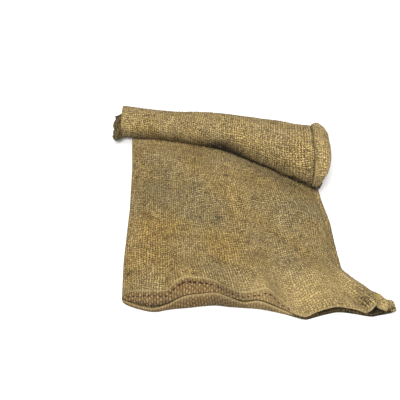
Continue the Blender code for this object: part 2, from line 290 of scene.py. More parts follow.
def swing(side, way):
    """How far a side lies outside a straight line, its corners rounded."""
    ways, outs = column(side, "way"), column(side, "out")
    return sum(np.interp(way + step, ways, outs) for step in (-0.02, 0, 0.02)) / 3


def floor_x(across, mouth, y):
    x_end, y_end = under_roll(across)
    way = np.clip((y - mouth.y) / (y_end - mouth.y), 0, 1)
    right = swing(RIGHT_SIDE, way) * (across / SEAM_SHARE)**SIDE_SHARE
    left = swing(LEFT_SIDE, way) * (1 - across) ** SIDE_SHARE
    return mouth.x + way * (x_end - mouth.x) + right + left


def loose_row(across, mouth, y, z):
    return np.stack([floor_x(across, mouth, y), y, z + 0 * y], -1)


def relief(folds, x, y):
    """How far ridges and troughs lift the upper layer."""
    lift = np.zeros_like(x)
    for fold in folds:
        run = np.array([fold.x2 - fold.x1, fold.y2 - fold.y1], float)
        dx, dy = x - fold.x1, y - fold.y1
        part = np.clip((dx * run[0] + dy * run[1]) / (run @ run), 0, 1)
        away = np.hypot(dx - part * run[0], dy - part * run[1]) / fold.width
        lift += fold.height * np.exp(-away * away)
    return lift


def bumps(points, size, seed):
    """Smooth noise from -1 to 1 at places, with features of a given size."""
    offset = Vector((seed * 17.3, seed * 5.1, seed * 9.7))
    return np.array([noise.noise(Vector(p) / size + offset) for p in points.reshape(-1, 3)])


def top_height(across, mouth, x, y):
    """Height of the upper layer behind its crest."""
    edge = ease(np.minimum(across, 1 - across) / SIDE_RAMP)
    rest = SIDE_HEIGHT + (MIDDLE_HEIGHT - SIDE_HEIGHT + relief(FOLDS, x, y)) * edge
    behind = np.maximum(0, y - mouth.y - mouth.back) / CREST_REACH
    return rest + (mouth.crest - rest) * np.exp(-behind * behind) + relief(CURLS, x, y)


def roll_reach(across):
    """Half the width of the roll over where the loose end goes under it."""
    return curve(ROLL, "reach", roll_at(under_roll(across)[0]))


def under_turn(across, y):
    """Height of the roll's underside in front of its axis."""
    x_end, y_end = under_roll(across)
    turn = row_at(ROLL, roll_at(x_end))
    high = 1 - turn.sunk
    wide = np.sqrt(2 - high * high)
    part = np.clip(np.abs(y_end - y) / (turn.reach * wide), 0, 1)
    dip = np.sqrt(1 - part * part)
    return turn.reach * high + turn.step - (turn.reach * high + 0.12 * turn.step) * dip, part


def hem_curve(mouth, way):
    """The upper layer between its hem's edge, at way 0, and its crest, at 1: y, z and the
    direction outwards."""
    back = np.minimum(HEM_BACK, HEM_BACK_SHARE * mouth.back)
    y0, y1 = mouth.y + back - EDGE[0], mouth.y + mouth.back
    y = y0 + (y1 - y0) * way
    z = mouth.hem + (mouth.crest - mouth.hem) * (1 - (1 - way) ** HEM_ROUND)
    slope = (mouth.crest - mouth.hem) * HEM_ROUND * (1 - way) ** (HEM_ROUND - 1)
    length = np.hypot(y1 - y0, slope)
    return y, z, -slope / length, (y1 - y0) / length


def lip_curve(mouth, way):
    """The lower layer between its lip, at way 0, and the floor behind it, at 1."""
    height = mouth.lip - HALF
    foot, power = LIP_FOOT
    y = mouth.y - LIP_BULGE * np.sin(math.pi * way) + foot * way**power
    z = HALF + height * (1 - way) ** LIP_ROUND
    dy = -LIP_BULGE * math.pi * np.cos(math.pi * way) + foot * power * way ** (power - 1)
    dz = -LIP_ROUND * height * (1 - way) ** (LIP_ROUND - 1)
    length = np.hypot(dy, dz)
    return y, z, -dz / length, dy / length


def loose_rows(across):
    """Rows of (x, y, z) for the upper and the lower layer, from the turned-in edges of their
    hems to where they pass under the roll."""
    mouth = mouth_across(across)
    upper, lower = [], []
    for way in TURNED:
        y, z, out_y, out_z = hem_curve(mouth, way)
        upper.append((y - TURNED_IN * out_y, z - TURNED_IN * out_z))
        y, z, in_y, in_z = lip_curve(mouth, way)
        lower.append((y + TURNED_IN * in_y, z + TURNED_IN * in_z))
    y, z, out_y, out_z = hem_curve(mouth, 0)
    back, inside, past = EDGE
    upper.append((y - inside * out_y - past * out_z, z - inside * out_z + past * out_y))
    lower.append((mouth.y + back, mouth.lip + past))
    for way in FRONT:
        y, z, out_y, out_z = hem_curve(mouth, way)
        curl = relief(CURLS, floor_x(across, mouth, y), y)
        upper.append((y + curl * out_y, z + curl * out_z))
        lower.append(lip_curve(mouth, way)[:2])
    y_end = under_roll(across)[1]
    rows_up = [loose_row(across, mouth, *row) for row in upper]
    rows_low = [loose_row(across, mouth, *row) for row in lower]
    foot = mouth.y + LIP_FOOT[0]
    for share in np.linspace(0, 1, PANEL_ROWS + 1) ** CLOSER_ROWS:
        y = mouth.y + mouth.back + share * (y_end - mouth.y - mouth.back)
        x = floor_x(across, mouth, y)
        z = top_height(across, mouth, x, y)
        place = np.stack([x, y, 0 * x], -1)
        grain = bumps(place, GRAIN_SIZE[0], 1) + GRAIN_HEIGHT[1] * bumps(place, GRAIN_SIZE[1], 2)
        z = z + GRAIN_HEIGHT[0] * grain * ease(share / 0.08)
        dip = bell(y_end - y, DIP_BACK * roll_reach(across), DIP_WIDTH)
        z = z + (DIP_HEIGHT - z) * DIP_SHARE * dip
        ceiling, part = under_turn(across, y)
        sag = SAG * bell(x, 0, DENTS[0].long) * ease(part / 0.3)
        ceiling = np.maximum(ceiling - UNDER_GAP - sag, HALF + APART + 0.3)
        ceiling = ceiling + 40 * ease((part - 0.8) / 0.2)  # none further out
        z = -UNDER_SOFT * np.logaddexp(-z / UNDER_SOFT, -ceiling / UNDER_SOFT)
        z = z + (HALF + APART - z) * ease((share - UNDER_FROM) / (1 - UNDER_FROM))
        rows_up.append(np.stack([x, y, z], -1))
        rows_low.append(loose_row(across, mouth, foot + share * (y_end - foot), HALF))
    return rows_up, rows_low


def dented(dents, x, half_turns):
    """The sum of what some dents do at places of the roll."""
    total = 0
    for dent in dents:
        away = ((x - dent.x) / dent.long) ** 2 + ((half_turns - dent.half_turns) / dent.wide) ** 2
        total = total + dent.out * np.exp(-away)
    return total


def roll_point(across, angle, past, share, inset):
    """A place on the roll: inset lies inside the outer surface of the cloth."""
    turns = between(TURNS, across)
    core = between(CORE, across)
    x_end, _ = under_roll(across * SEAM_SHARE)
    half = angle / math.pi
    left = np.interp(half, column(WANDER, "half_turns"), column(WANDER, "left"))
    ragged = RAGGED * np.sin(5.3 * angle) * ease(half - 1.8)
    x = x_end - (left + ragged) * (1 - 0.5 * across)
    xs = column(ROLL, "x")
    at = roll_at(x)
    turn = row_at(ROLL, at)
    step = 0.05
    run_x = curve(ROLL, "x", at + step) - curve(ROLL, "x", at - step)
    run_y = curve(ROLL, "y", at + step) - curve(ROLL, "y", at - step)
    run = np.hypot(run_x, run_y)
    along = np.stack([run_x / run, run_y / run], -1)
    over = (x - np.clip(x, xs[0], xs[-1])) / along[:, 0] + past
    high = 1 - turn.sunk
    wide = np.sqrt(2 - high * high)
    spacing = (turn.reach * high - core) / (turns - 1)
    inner = np.maximum(0, angle / (2 * math.pi) - 1)
    cover = turn.step * np.maximum(0, 1 - angle / (2 * math.pi)) - spacing * inner
    out = (turn.reach * wide + cover) * share - inset
    up = (turn.reach * high + cover) * share - inset
    wave = sum(r.height * np.sin(r.turns * angle + r.along * at) for r in RIPPLES)
    wave = wave + dented(DENTS, x, half)
    wave = wave * ease(angle / 0.7)
    droop = ease(1 - across / DROOP_ACROSS) * ease(angle / math.pi - 1.9)
    middle_z = turn.reach * high + turn.step - SINKING * spacing * inner - DROOP[1] * droop
    place_x = turn.x + over * along[:, 0]
    place_y = turn.y + over * along[:, 1] + (out + wave) * np.sin(angle) / along[:, 0]
    place_y = place_y - DROOP[0] * droop
    place_z = np.maximum(middle_z - (up + wave) * np.cos(angle), inset)
    return np.stack([place_x, place_y, place_z], -1)


def wound_angles(across):
    """The angle of each row of the roll, at shares of the way across."""
    outer = np.arange(1, int(OUTER_ANGLE / OUTER_STEP) + 1) * OUTER_STEP
    count = int((2 * math.pi * max(TURNS) - outer[-1]) / INNER_STEP)
    left = 2 * math.pi * between(TURNS, across) - outer[-1]
    angles = [np.full_like(across, angle) for angle in outer]
    return angles + [outer[-1] + k / count * left for k in range(1, count + 1)]


def loose_rings(across):
    """Rings of the loose end, with the spare cloth outside its seam."""
    upper, lower = loose_rows(across * SEAM_SHARE)
    pinch = ease((across - 1 + SEAM_PINCH) / SEAM_PINCH)
    rings = []
    for i, (up, low) in enumerate(zip(upper, lower)):
        if i >= CREST_ROW:
            up[:, 2] += (np.minimum(up[:, 2], SEAM_HEIGHT) - up[:, 2]) * pinch
        bulge = min((up[0, 2] - low[0, 2]) / 2, FOLD_BULGE[0])
        inset = bulge * np.exp(-across / FOLD_INSET)
        up[:, 0] += inset
        low[:, 0] += inset
        spare_up = [up[-1] + s.flat * SPARE_WAY for s in SPARE]
        spare_low = [low[-1] + s.flat * SPARE_WAY for s in SPARE]
        floor, top = low[-1, 2], up[-1, 2]
        for k, s in enumerate(SPARE):
            hang = top + (s.height - SEAM_HEIGHT) * SPARE_HANG
            slope = max(0, top - SPARE_SLOPE) * (k / 6) ** 2
            spare_up[k][2] = max(hang - slope, floor + APART)
            lift = max(0, spare_up[k][2] - floor - SPARE_LIFT[1])
            spare_low[k][2] = floor + SPARE_LIFT[0] * lift * k / 4
        rings.append(close_ring(up, spare_up, low, spare_low, bulge))
    return rings


def wound_rings(across):
    """Rings of the roll, drawn in at its seam, with the spare cloth outside it."""
    one = np.ones(1)
    tip, tip_width, tip_out = SPARE_TIP
    rings = []
    for angles in wound_angles(across):
        up = roll_point(across, angles, 0, 1, HALF + APART)
        low = roll_point(across, angles, 0, 1, HALF)
        angle = angles[-1]
        half_turns = angle / math.pi
        opened = ease(angle / SPARE_OPEN)
        tuck = after(half_turns, SPARE_TUCK)
        width = 1 - SPARE_DRAWN[0] * tuck + tip_out * bell(half_turns, tip, tip_width)
        inwards = opened * np.array([0, math.sin(angle), -math.cos(angle)])
        low[-1] -= GROOVE[0] * inwards
        up[-1] -= GROOVE[1] * inwards
        up[-2] -= GROOVE[2] * inwards
        shrink = 1 - SPARE_INNER * ease(half_turns - 2)
        spare_up, spare_low = [], []
        for k, s in enumerate(SPARE):
            past = (s.flat + (s.rolled * shrink - s.flat) * opened) * width * one
            ruffle = sum(r.height * math.sin(r.turns * angle + r.along * k) for r in RUFFLES)
            shape = s.share - 1 + ruffle * k / 3 - SPARE_DRAWN[1] * tuck
            share = (1 + shape * opened) * one
            puff = APART + SPARE_PUFF * math.sin(math.pi * (k + 1) / 6) * opened
            spare_low.append(roll_point(one, angles[-1:], past, share, HALF)[0])
            spare_up.append(roll_point(one, angles[-1:], past, share, HALF + puff)[0])
        rings.append(close_ring(up, spare_up, low, spare_low, FOLD_BULGE[1]))
    return rings


def cloth_rings():
    """The bag as rings of points round the tube of cloth, from the mouth to its inner end."""
    shares = np.linspace(0, 1, 400)
    start, over, times = CLOSER
    often = np.interp(shares, (start, start + over), (1, times))
    often = np.cumsum(often) - often[0]
    across = np.interp(np.linspace(0, 1, COLUMNS), often / often[-1], shares)
    return np.array(loose_rings(across) + wound_rings(across))


def close_ring(up, spare_up, low, spare_low, bulge):
    """One ring of the tube. Its folded side bulges outwards in a half round."""
    edge = (up[-1] - up[0]) / np.linalg.norm(up[-1] - up[0])
    middle, reach = (up[0] + low[0]) / 2, (up[0] - low[0]) / 2
    fold = [middle - reach * math.cos(a) - bulge * math.sin(a) * edge for a in FOLD_ANGLES]
    tip = (spare_up[-1] + spare_low[-1]) / 2 + SPARE_ROUND * edge
    return np.vstack([up, spare_up, [tip], spare_low[::-1], low[::-1], fold])


def cloth_coordinates(rings):
    """Flat coordinates of every point, in metres: across the cloth, and along it. The steps
    along are evened out from side to side, because the threads across run nearly straight."""
    rows, count = rings.shape[:2]
    steps = np.linalg.norm(np.diff(rings, axis=0), axis=2)
    kernel = np.exp(-np.linspace(-2, 2, 2 * EVENED + 1) ** 2)
    kernel /= kernel.sum()
    padded = np.concatenate([steps[:, -EVENED:], steps, steps[:, :EVENED]], axis=1)
    even = np.array([np.convolve(row, kernel, "valid") for row in padded])
    along = np.vstack([np.zeros(count), np.cumsum(even, axis=0)])
    across = np.tile(run_of(rings[WIDTH_ROW]), (rows, 1))
    own = np.linalg.norm(np.diff(rings, axis=1), axis=2)
    tip = COLUMNS + len(SPARE)
    for k in range(COLUMNS, tip + 1):
        across[:, k] = across[:, k - 1] + own[:, k - 1]
    for k in range(SEAM_LOW - 1, tip, -1):
        across[:, k] = across[:, k + 1] - own[:, k]
    return across * MM, along * MM


def to_metres(points):
    return (points + SHIFT) * MM


def new_object(name, mesh):
    made = bpy.data.objects.new(name, mesh)
    bpy.context.scene.collection.objects.link(made)
    return made


def ring_faces(rows, columns):
    """Faces between rings of points, four corners each."""
    here = np.arange(rows * columns).reshape(rows, columns)
    beside = np.roll(here, -1, axis=1)
    return np.stack([here[:-1], beside[:-1], beside[1:], here[1:]], -1).reshape(-1, 4)


def cloth_piece(rings):
    """The whole bag as one mesh with its flat coordinates, and with the hem marked."""
    across, along = cloth_coordinates(rings)
    mesh = bpy.data.meshes.new("sack_cloth")
    columns = rings.shape[1]
    faces = ring_faces(len(rings), columns)
    mesh.from_pydata(to_metres(rings.reshape(-1, 3)).tolist(), [], faces.tolist())
    mesh.shade_smooth()
    layer = mesh.uv_layers.new(name="cloth")
    wraps = (faces[:, :1] % columns == columns - 1) & (faces % columns == 0)
    u = across.ravel()[faces] + wraps * (across[0, -1] + WRAP)
    layer.data.foreach_set("uv", np.stack([u, along.ravel()[faces]], -1).ravel())
    # Of these marks the tone also carries painted shade and painted light.
    marks = (hem_values(rings), *looks(rings))
    for name, values in zip(("hem", "tone", "warmth", "worn"), marks):
        mesh.attributes.new(name, "FLOAT", "POINT").data.foreach_set("value", values.ravel())
    return new_object("sack_cloth", mesh)


def hem_values(rings):
    """1 where the cloth is turned in double, fading out past the row of stitches."""
    values = np.zeros(rings.shape[:2])
    values[:EDGE_ROW] = 1
    start, share = HEM_FADE
    for k, way in enumerate(FRONT):
        values[EDGE_ROW + k] = 1 - share * ease((way - start) / (1 - start))
    return values * (1 - past_hem(rings[..., 0]))


def past_hem(x):
    """1 where the hem has turned under, on the way to the pulled-out corner."""
    return after(x, HEM_END)


# Patches of the loose end that are darker or lighter, and yellower or pinker: its own uneven
# colour and dark knots; painted shade along its soft diagonal trough, at the left end of the
# mouth's opening and beside the pulled-out corner; painted light where that corner faces up, and
# on its curls.
PATCHES = table(
    "x y radius tone warmth worn",
    # The first four patches: painted shade along the soft diagonal trough.
    (-72, 14, 20, -0.19, -0.2), (-41, -12, 20, -0.15, -0.3), (-10, -40, 20, -0.16, -0.5),
    (24, -54, 20, -0.22, -0.6), (48, -4, 20, 0.08, 0.3), (-60, -70, 36, 0.05, 0.8),
    (30, -100, 36, 0.06, 0.6), (142, -38, 22, -0.1, -0.5), (22, -8, 26, -0.1, -0.3),
    (-82, 40, 30, 0.03, 0.2), (-74, 62, 20, -0.14, -0.2), (-45, 40, 20, -0.18, -0.3),
    (-15, 20, 22, -0.16, -0.3), (38, 34, 4.5, -0.9, -0.2), (27, -49, 5, -0.6, -0.2),
    (-95, -153, 4.5, -0.8), (40, -42, 24, 0.05, 0.6), (130, -190, 40, 0.16, 0.1, 0.3),
    (75, -186, 26, 0.1, 0.1, 0.25), (-75, -4, 24, -0.12), (45, 10, 30, 0.11, 0.2),
    (-15, -166, 20, 0.13, 0.3), (135, -85, 32, -0.03, 0.1), (120, -140, 34, -0.02),
    (200, -180, 34, 0.16, 0.1, 0.25), (-40, 60, 40, 0.08, 0.1), (-88, -20, 26, -0.04, -0.2),
    (110, -30, 40, -0.03, -0.1), (-80, -130, 40, 0.03, 0.6), (214, -198, 10, -0.35, -0.3, -0.1),
    (231, -200, 3.5, 0.25, 0.5, 0.3), (236, -202, 3.5, 0.25, 0.5, 0.3),
    (239.5, -206, 3.5, 0.2, 0.5, 0.3), (34, -195, 13, -0.16, -0.2), (54, -198, 12, -0.18, -0.2),
    (92, -202, 10, -0.2, -0.2), (40, 42, 26, 0.16, 0.2), (-84, -192, 9, -0.1, -0.2),
)

HEM_END = (112, 14)  # from here on, and over this length, the hem turns under
HEM_FADE = (0.75, 0.5)  # share of the way to the crest from which its look fades, by so much
# Painted shade on the front of the upper hem, deepest just under its crest.
UNDER_CREST_TONE = -0.15
# Painted highlight along the crest of the upper hem, where its bend faces the light.
CREST_HIGHLIGHT = (0.5, 0.1)  # at the crest, and one row below it
# How strong the painted highlights along the hems' edges are, and over which share of the way to
# the crest: upper, lower.
LIP_HIGHLIGHT = 0.45
LIP_WIDTH = (0.3, 0.08)
# The outside of the lower hem, darkened with painted shade: its tone from just below its lip, and
# what is added to the floor.
WALL_TONE = (-0.1, -0.36)
WALL_FROM = 0.2
# Painted shade on the lower layer where the corner turns it under, and on its turned-in cloth
# there.
UNDERSIDE_TONE = -0.93  # the lower layer where the corner turns it under
TURNED_TONE = -0.7  # its turned-in cloth there
HEM_SHADE = (-66, 24, -0.5)  # the hem's edge at the left wave: where, how wide, its tone
HEM_SHADE_WIDTH = 0.16
# The painted shade inside the mouth: across, behind this line. Then that of the corner's hole,
# across and where along the mouth.
INSIDE = (-205, 25, -0.85)
HOLE = (-205, 22)
HOLE_X = (229.5, 7)

# The loose end beside the roll, by shares of the roll's reach: painted shade nearer than this,
# over this; painted light round this, this wide and from so far past the shade. The last numbers
# are the tones.
CONTACT = (0.87, 0.12, -0.85)
BESIDE = (1.12, 0.5, 0.1, 0.66)
DEEP = (-5, 50, 0.2)  # along the roll the shade gets deeper from here, over this, from this

# Painted light: the whole roll is made lighter than the loose end.
ROLL_TONE = 0.19
ROLL_FROM = 0.3  # half turns over which the roll's look comes in
# Painted shade and painted light on places of the roll, where out is the tone.
ROLL_PATCHES = table(
    "x half_turns long wide out",
    (38, 1.5, 25, 0.2, -0.62), (-8, 1.5, 24, 0.12, -0.15), (-60, 1.45, 30, 0.1, -0.06),
    (120, 1.38, 45, 0.15, -0.24), (110, 0.98, 60, 0.15, 0.07), (150, 1.1, 14, 0.3, 0.05),
)
# The painted shade of the roll's underside in half turns: from where, over how much, its tone.
# Then that of its base.
UNDERSIDE = (1.32, 0.36, -0.56)
BASE = (1.52, 0.12, -0.5)
OUTER_END = (1.9, 0.15)  # half turns at which the outer turn is covered
# The inner turns at the folded end, darkened with painted shade: from which half turn, and beyond
# which x.
INNER_TURNS = (1.8, 0.3)
INNER_X = (-112, 14)
INNER_TONE = -0.8
# Painted shade in the groove of the roll's seam.
GROOVE_TONE = (-0.85, -0.4)  # at the seam of the roll, and one column beside it
GROOVE_FADE = (0.9, 0.5, 0.25)  # from which half turn, over how many, by how much
SPARE_LOOK = (0.08, 0.1)  # tone and wear of the spare cloth on the roll
DARKEST = -0.9
MOST_WEAR_AND_HIGHLIGHT = 0.9


def looks(rings):
    """How light, how warm and how pale each point of the cloth is: its lightness holds painted
    shade and painted light besides its own tone, its paleness wear and painted highlights.
    """
    x, y = rings[..., 0], rings[..., 1]
    tone, warmth, worn = (np.zeros(x.shape) for _ in range(3))
    row = np.arange(len(rings))[:, None]
    loose = row < LOOSE_END
    for patch in PATCHES:
        weight = np.exp(-((x - patch.x) ** 2 + (y - patch.y) ** 2) / patch.radius**2) * loose
        tone += patch.tone * weight
        warmth += patch.warmth * weight
        worn += patch.worn * weight
    deep = DEEP[2] + (1 - DEEP[2]) * after(x, DEEP)
    near = (axis_y(x) - y) / np.interp(x, column(ROLL, "x"), column(ROLL, "reach"))
    # Painted shade where the loose end runs under the roll, and painted light just in front of it.
    tone += loose * deep * CONTACT[2] * ease((CONTACT[0] - near) / CONTACT[1])
    pale = bell(near, BESIDE[0], BESIDE[1]) * ease((near - CONTACT[0]) / BESIDE[2])
    tone += loose * BESIDE[3] * pale
    mouth_looks(x, y, row, tone, worn)
    half_turns = np.maximum(0, row - LOOSE_END) * OUTER_STEP / math.pi
    roll_looks(x, half_turns, deep, tone, worn)
    return np.maximum(tone, DARKEST), warmth, np.clip(worn, 0, MOST_WEAR_AND_HIGHLIGHT)


def mouth_looks(x, y, row, tone, worn):
    """Adds the mouth's painted highlights along its edges, and the painted shade of its hem, its
    walls and its inside.
    """
    up_under, low_under = past_hem(x[EDGE_ROW, UPPER]), past_hem(x[EDGE_ROW, LOWER])
    for i, way in enumerate(FRONT, EDGE_ROW):
        # Painted shade down the front of the upper hem; where the hem turns under, a painted
        # highlight on its edge.
        tone[i, UPPER] += (1 - up_under) * UNDER_CREST_TONE * way**2
        worn[i, UPPER] += up_under * LIP_HIGHLIGHT * bell(way, 0, LIP_WIDTH[0])
        shade = bell(x[i, UPPER], HEM_SHADE[0], HEM_SHADE[1], 4)
        tone[i, UPPER] += HEM_SHADE[2] * shade * bell(way, 0, HEM_SHADE_WIDTH)
        # Painted shade on the outside of the lower hem, deepest where the corner turns it under,
        # and a painted highlight along its lip.
        wall = WALL_TONE[0] * min(1, way / WALL_FROM) + WALL_TONE[1] * way
        tone[i, LOWER] += wall * (1 - low_under) + UNDERSIDE_TONE * low_under
        worn[i, LOWER] += LIP_HIGHLIGHT * bell(way, 0, LIP_WIDTH[1]) * (1 - low_under)
    worn[EDGE_ROW - 1, LOWER] += LIP_HIGHLIGHT * (1 - low_under)
    tone[:EDGE_ROW, LOWER] += TURNED_TONE * low_under
    # Painted highlight along the crest.
    worn[CREST_ROW, UPPER] += CREST_HIGHLIGHT[0] * (1 - up_under)
    worn[CREST_ROW - 1, UPPER] += CREST_HIGHLIGHT[1] * (1 - up_under)
    # Painted shade inside the mouth and in the corner's hole.
    inside = INSIDE[2] * bell(y, INSIDE[0], INSIDE[1]) * (row >= CREST_ROW) * past_hem(x)
    hole = bell(x, *HOLE_X) * bell(y, *HOLE) * (row > CREST_ROW)
    tone[:, LOWER] += (inside - hole)[:, LOWER]


def roll_looks(x, half_turns, deep, tone, worn):
    """Adds the roll's painted light and painted shade, with painted shade on its inner turns and
    in the groove of its seam.
    """
    rolled = ease(half_turns / ROLL_FROM)
    # Painted light over the whole roll.
    tone += ROLL_TONE * rolled
    # Painted shade on the underside and base of the outer turn.
    under = UNDERSIDE[2] * after(half_turns, UNDERSIDE)
    under = under + deep * BASE[2] * after(half_turns, BASE)
    tone += under * (1 - after(half_turns, OUTER_END))
    # Painted shade and painted light in patches of the roll.
    tone += dented(ROLL_PATCHES, x, half_turns) * (half_turns > 0.1)
    # Painted shade on the inner turns at the folded end.
    inner = after(half_turns, INNER_TURNS)
    tone += INNER_TONE * inner * ease((INNER_X[0] - x) / INNER_X[1])
    spare = slice(COLUMNS + 1, SEAM_LOW - 1)
    tone[:, spare] += SPARE_LOOK[0] * rolled
    worn[:, spare] += SPARE_LOOK[1] * rolled
    turns = half_turns[:, 0]
    start, over, share = GROOVE_FADE
    drawn_in = ease(turns / 0.2) * (1 - share * ease((turns - start) / over))
    # Painted shade in the seam's groove and beside it.
    tone[:, SEAM_LOW] += GROOVE_TONE[0] * drawn_in
    tone[:, SEAM_LOW + 1] += GROOVE_TONE[1] * drawn_in


def tube(points, radius, sides=6):
    """Points and faces of a closed tube along a line of points."""
    points = np.asarray(points, float)
    runs = np.gradient(points, axis=0)
    runs /= np.linalg.norm(runs, axis=1)[:, None]
    made = []
    side = np.cross(runs[0], (0.3, 0.2, 1))
    for point, run in zip(points, runs):
        side = side - run * (side @ run)
        side = side / np.linalg.norm(side)
        other = np.cross(run, side)
        for k in range(sides):
            angle = 2 * math.pi * k / sides
            made.append(point + radius * (math.cos(angle) * side + math.sin(angle) * other))
    ends = [range(sides - 1, -1, -1), range(len(made) - sides, len(made))]
    return made, ring_faces(len(points), sides).tolist() + ends


def joined(name, parts):
    """One mesh object from (points, faces) parts."""
    points, faces = [], []
    for made, sides in parts:
        start = len(points)
        points += [tuple(to_metres(p)) for p in made]
        faces += [tuple(start + i for i in side) for side in sides]
    mesh = bpy.data.meshes.new(name)
    mesh.from_pydata(points, [], faces)
    mesh.shade_smooth()
    return new_object(name, mesh)


# The running stitch in the upper hem: its length and its spacing, and how uneven both are.
STITCH_LENGTH = 3.2
STITCH_PITCH = 7.4
STITCH_UNEVEN = (0.5, 0.9)
STITCH_RADIUS = (1, 1.6)  # elsewhere, and at the high wave of the mouth
STITCH_WAVE = (-10, 24)  # where that wave is along the mouth, and how wide
STITCH_DOWN = 9  # from the crest
STITCH_WAYS = (0.35, 0.75)  # but always between these shares of the way to it
STITCH_SHARES = (0.02, 0.97)  # of the way across the mouth
STITCH_END = 118
STITCH_RISE = (-0.55, 0.8)  # of the thread's middle at its ends, and how much more between
STITCH_ROUND = 0.6


def hem_stitches():
    """Dashes of thread along the upper hem, a little uneven."""
    across = np.linspace(*STITCH_SHARES, 1600)
    mouth = mouth_across(across)
    length = np.hypot(mouth.back, mouth.crest - mouth.hem)
    way = np.clip(1 - STITCH_DOWN / length, *STITCH_WAYS)
    y, z, out_y, out_z = hem_curve(mouth, way)
    line = loose_row(across, mouth, y, z)
    out = np.stack([0 * y, out_y, out_z], -1)
    run = run_of(line)
    shares = np.linspace(0, 1, 6)
    rise = STITCH_RISE[0] + STITCH_RISE[1] * np.sin(math.pi * shares) ** STITCH_ROUND
    parts = []
    for n in range(int(run[-1] / STITCH_PITCH)):
        start = n * STITCH_PITCH + STITCH_UNEVEN[1] * math.sin(2.7 * n)
        size = STITCH_LENGTH + STITCH_UNEVEN[0] * math.sin(1.9 * n + 1)
        at = start + shares * size
        points = on_line(at, run, line) + on_line(at, run, out) * rise[:, None]
        wave = bell(points[0, 0], STITCH_WAVE[0], STITCH_WAVE[1], 4)
        if points[0, 0] < STITCH_END:
            parts.append(tube(points, between(STITCH_RADIUS, wave)))
    return joined("hem_stitches", parts)


CHAIN_RADIUS = (0.6, 1.15)  # on the loose end, and on the roll
CHAIN_SHOWS = 1.2  # half turns from which it shows on the roll
CHAIN_ENDS = 6  # rows short of the roll
CHAIN_TWIST = 7.5  # length in which the two strands go once round each other
CHAIN_LIFT = (0.6, 0.4)  # of the strands' middle off the cloth, and of either round it
CHAIN_ASIDE = 1.1  # of either strand, as a share of its radius
CHAIN_STEP = 1.1


def seam_chain(rings):
    """The side seam's chain stitch: two strands that twist round each other along the seam, on
    the upper layer of the loose end and on the outer layer of the roll."""
    loose = rings[EDGE_ROW:LOOSE_END - CHAIN_ENDS]
    start = LOOSE_END + 1 + int(CHAIN_SHOWS * math.pi / OUTER_STEP)
    wound = LOOSE_END + 1 + int(2 * math.pi / OUTER_STEP)
    rolled = rings[start:wound]
    lines = (
        (loose[:, COLUMNS - 1], loose[:, COLUMNS - 2], 1, CHAIN_RADIUS[0]),
        (rolled[:, SEAM_LOW - 1], rolled[:, SEAM_LOW], -1, CHAIN_RADIUS[1]),
    )
    parts = []
    for line, beside, side, radius in lines:
        level = line - beside
        out = side * np.cross(level, np.gradient(line, axis=0))
        out /= np.linalg.norm(out, axis=1)[:, None]
        level /= np.linalg.norm(level, axis=1)[:, None]
        run = run_of(line)
        at = np.arange(0, run[-1], CHAIN_STEP)
        place, away, flat = (on_line(at, run, values) for values in (line, out, level))
        for strand in (0, math.pi):
            turn = 2 * math.pi * at / CHAIN_TWIST + strand
            lift = CHAIN_LIFT[0] + CHAIN_LIFT[1] * np.sin(turn)
            aside = CHAIN_ASIDE * radius * np.cos(turn)
            points = place + away * lift[:, None] + flat * aside[:, None]
            parts.append(tube(points, radius, 5))
    return joined("seam_chain", parts)


FIBRES = 1500
FIBRE_RADIUS = 0.13
FIBRE_SEED = 7
FIBRE_LENGTH = (3, 7)  # the least, and how much more
FIBRE_RISE = (0.6, 1.9)
FIBRE_CURL = 0.25
FIBRE_LIFT = 0.4
FIBRE_SHARES = (0, 0.25, 0.5, 0.75, 1)
FIBRE_TURNS = 2.05  # half turns of the roll that bear some


def loose_fibres(rings):
    """Short stray fibres that stand off the cloth, more of them at its edges."""
    dice = np.random.default_rng(FIBRE_SEED)
    wound = LOOSE_END + int(FIBRE_TURNS * math.pi / OUTER_STEP)
    parts = []
    for n in range(FIBRES):
        where = n % 5
        if where < 2:
            i, j = dice.integers(EDGE_ROW, LOOSE_END - 8), dice.integers(1, COLUMNS + 3)
        elif where < 4:
            i = dice.integers(LOOSE_END + 8, wound)
            j = dice.integers(SEAM_LOW, SEAM_LOW + COLUMNS - 1)
        else:
            i, j = dice.integers(EDGE_ROW, wound), COLUMNS + dice.integers(2, 8)
        here = rings[i, j]
        down, right = rings[i + 1, j] - here, rings[i, j + 1] - here
        out = np.cross(right, down)
        size = np.linalg.norm(out)
        if size < 1e-6:
            continue
        out = out / size
        here = here + dice.random() * down + dice.random() * right
        angle = 2 * math.pi * dice.random()
        level = math.cos(angle) * down / np.linalg.norm(down)
        level = level + math.sin(angle) * right / np.linalg.norm(right)
        length = FIBRE_LENGTH[0] + FIBRE_LENGTH[1] * dice.random() ** 2
        rise = FIBRE_RISE[0] + FIBRE_RISE[1] * dice.random() ** 2
        curl = dice.normal(size=3) * FIBRE_CURL
        points = []
        for share in FIBRE_SHARES:
            arch = FIBRE_LIFT + rise * math.sin(math.pi * min(share, 0.75))
            x, y, z = here + length * share * (level + curl * share) + arch * out
            points.append((x, y, max(z, 0.3)))
        parts.append(tube(points, FIBRE_RADIUS, 3))
    return joined("loose_fibres", parts)


def feed(tree, node, inputs):
    """Gives a shader node's inputs values, or links to other nodes."""
    for name, value in inputs.items():
        if isinstance(value, bpy.types.NodeSocket):
            tree.links.new(value, node.inputs[name])
        else:
            node.inputs[name].default_value = value


def put(tree, kind, inputs, **settings):
    """A shader node with its settings and its inputs."""
    node = tree.nodes.new("ShaderNode" + kind)
    for name, value in settings.items():
        setattr(node, name, value)
    feed(tree, node, inputs)
    return node


def calc(tree, operation, *values, clamp=False):
    inputs = dict(enumerate(values))
    return put(tree, "Math", inputs, operation=operation, use_clamp=clamp).outputs[0]


